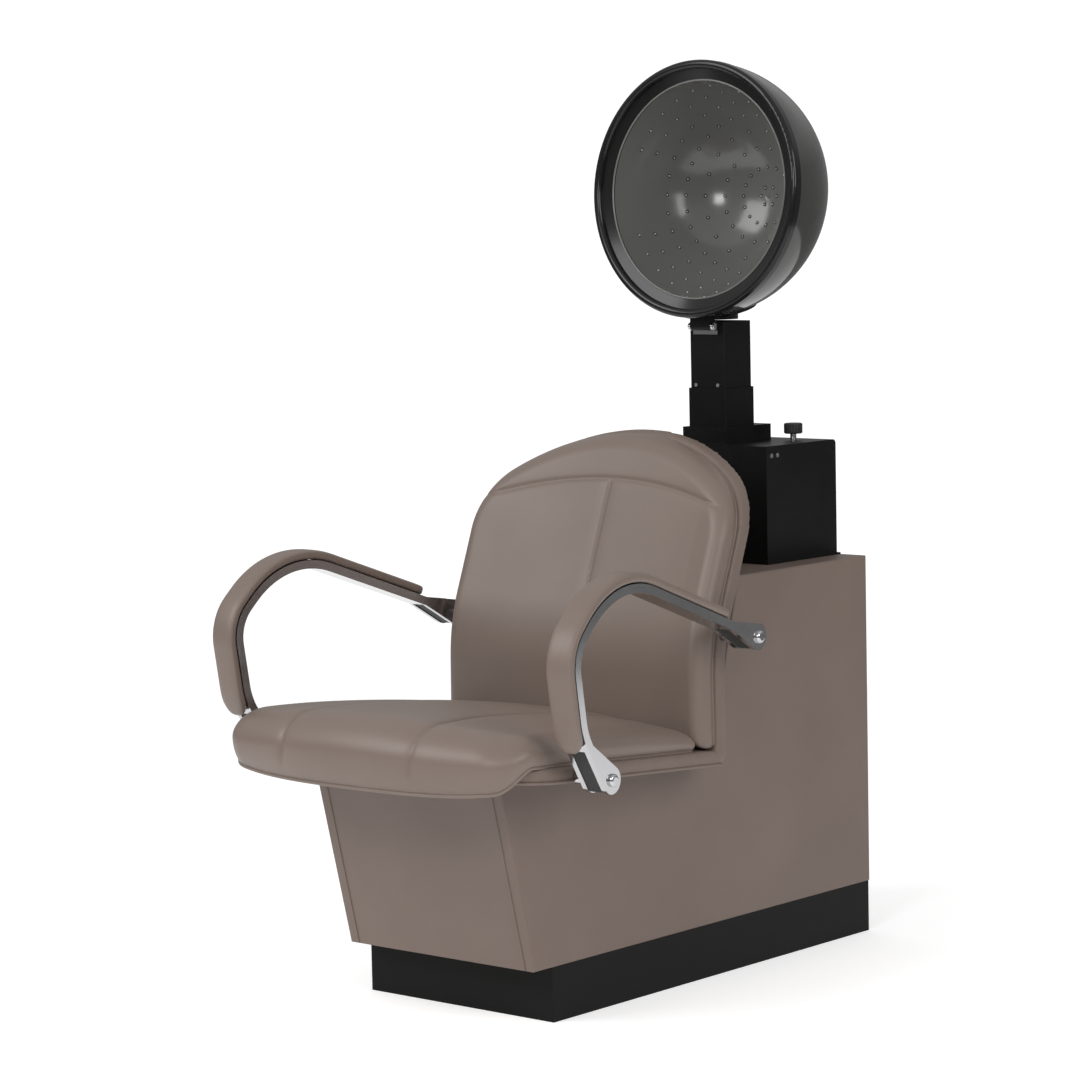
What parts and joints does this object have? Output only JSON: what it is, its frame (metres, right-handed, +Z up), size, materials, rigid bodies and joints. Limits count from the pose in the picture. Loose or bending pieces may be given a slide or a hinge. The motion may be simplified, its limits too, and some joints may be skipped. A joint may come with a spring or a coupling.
{
  "type": "hood hair dryer",
  "caption": "Salon hair dryer chair: upholstered seat, back and base box, chrome loop arms, and a tilting perforated dryer hood on a telescoping black mast.",
  "frame": {"origin": "On the floor at the centre of the plinth's footprint, on the face of the plinth's cross brace that rests on the floor.", "axes": "+Z up along the mast; the sitter and the hood's opening face -Y; +X is to the sitter's left."},
  "size_m": [0.7104, 1.0569, 1.4075],
  "materials": {
    "upholstery": "satin",
    "cushion_vinyl": "satin",
    "black_steel": "satin",
    "plinth_black": "satin",
    "chrome": "polished",
    "filler_black": "matte",
    "board": "matte",
    "steel": "satin",
    "black_plastic": "matte",
    "hood_smoke": "gloss",
    "hood_black": "gloss",
    "bowl_grey": "gloss",
    "heater_mica": "matte",
    "coil_wire": "matte"
  },
  "bodies": {
    "base": {"arm_bolts": "chrome", "arm_filler_left": "filler_black", "arm_filler_right": "filler_black", "arm_frame_left": "chrome", "arm_frame_right": "chrome", "arm_inserts": "steel", "arm_pad_left": "cushion_vinyl", "arm_pad_right": "cushion_vinyl", "arm_spacers": "chrome", "back_cushion": "cushion_vinyl", "blower_housing": "black_plastic", "blower_motor": "steel", "box_anchors": "steel", "box_base_plate": "black_steel", "box_cover": "black_steel", "box_front": "black_steel", "box_screws": "steel", "cable_gland": "black_plastic", "chair_shell": "upholstery", "floor_board": "board", "front_panel": "upholstery", "heater_coil": "coil_wire", "heater_frame": "heater_mica", "knob_stud": "chrome", "mast_collar": "black_steel", "mast_sleeve": "black_steel", "plinth_brace": "board", "plinth_front": "plinth_black", "plinth_left": "plinth_black", "plinth_rear": "plinth_black", "plinth_right": "plinth_black", "rear_panel": "upholstery", "seat_bolts": "steel", "seat_cushion": "cushion_vinyl", "seat_deck": "board", "seat_riser": "board", "side_panel_left": "upholstery", "side_panel_right": "upholstery", "sleeve_guide": "black_plastic", "terminal_block": "black_plastic", "tower_cap": "upholstery", "tower_front": "upholstery"},
    "mast": {"mast_tube": "black_steel", "tube_shoe": "black_plastic", "stop_screws": "steel", "hinge_clevis": "chrome", "hinge_pin": "chrome"},
    "hood": {"hood_rim": "hood_black", "hood_dome": "hood_smoke", "hood_ledge": "hood_black", "hood_bowl": "bowl_grey", "hood_throat": "hood_black", "hood_saddle": "black_steel"},
    "knob": {"lock_knob": "black_plastic"},
    "wheel": {"blower_wheel": "black_plastic"}
  },
  "joints": [
    {"name": "mast_slide", "type": "slide", "parent": "base", "child": "mast", "axis": [0, 0, 1], "range_m": [0, 0.12]},
    {"name": "hood_tilt", "type": "hinge", "parent": "mast", "child": "hood", "pos_m": [0, 0.214, 0.986], "axis": [1, 0, 0], "range_deg": [0, 60]},
    {"name": "knob_turn", "type": "hinge", "parent": "base", "child": "knob", "pos_m": [0.08, 0.344, 0.8175], "axis": [0, 0, 1], "range_deg": [0, 270]},
    {"name": "wheel_spin", "type": "hinge", "parent": "base", "child": "wheel", "pos_m": [-0.086, 0.2925, 0.7], "axis": [1, 0, 0], "continuous": true}
  ]
}
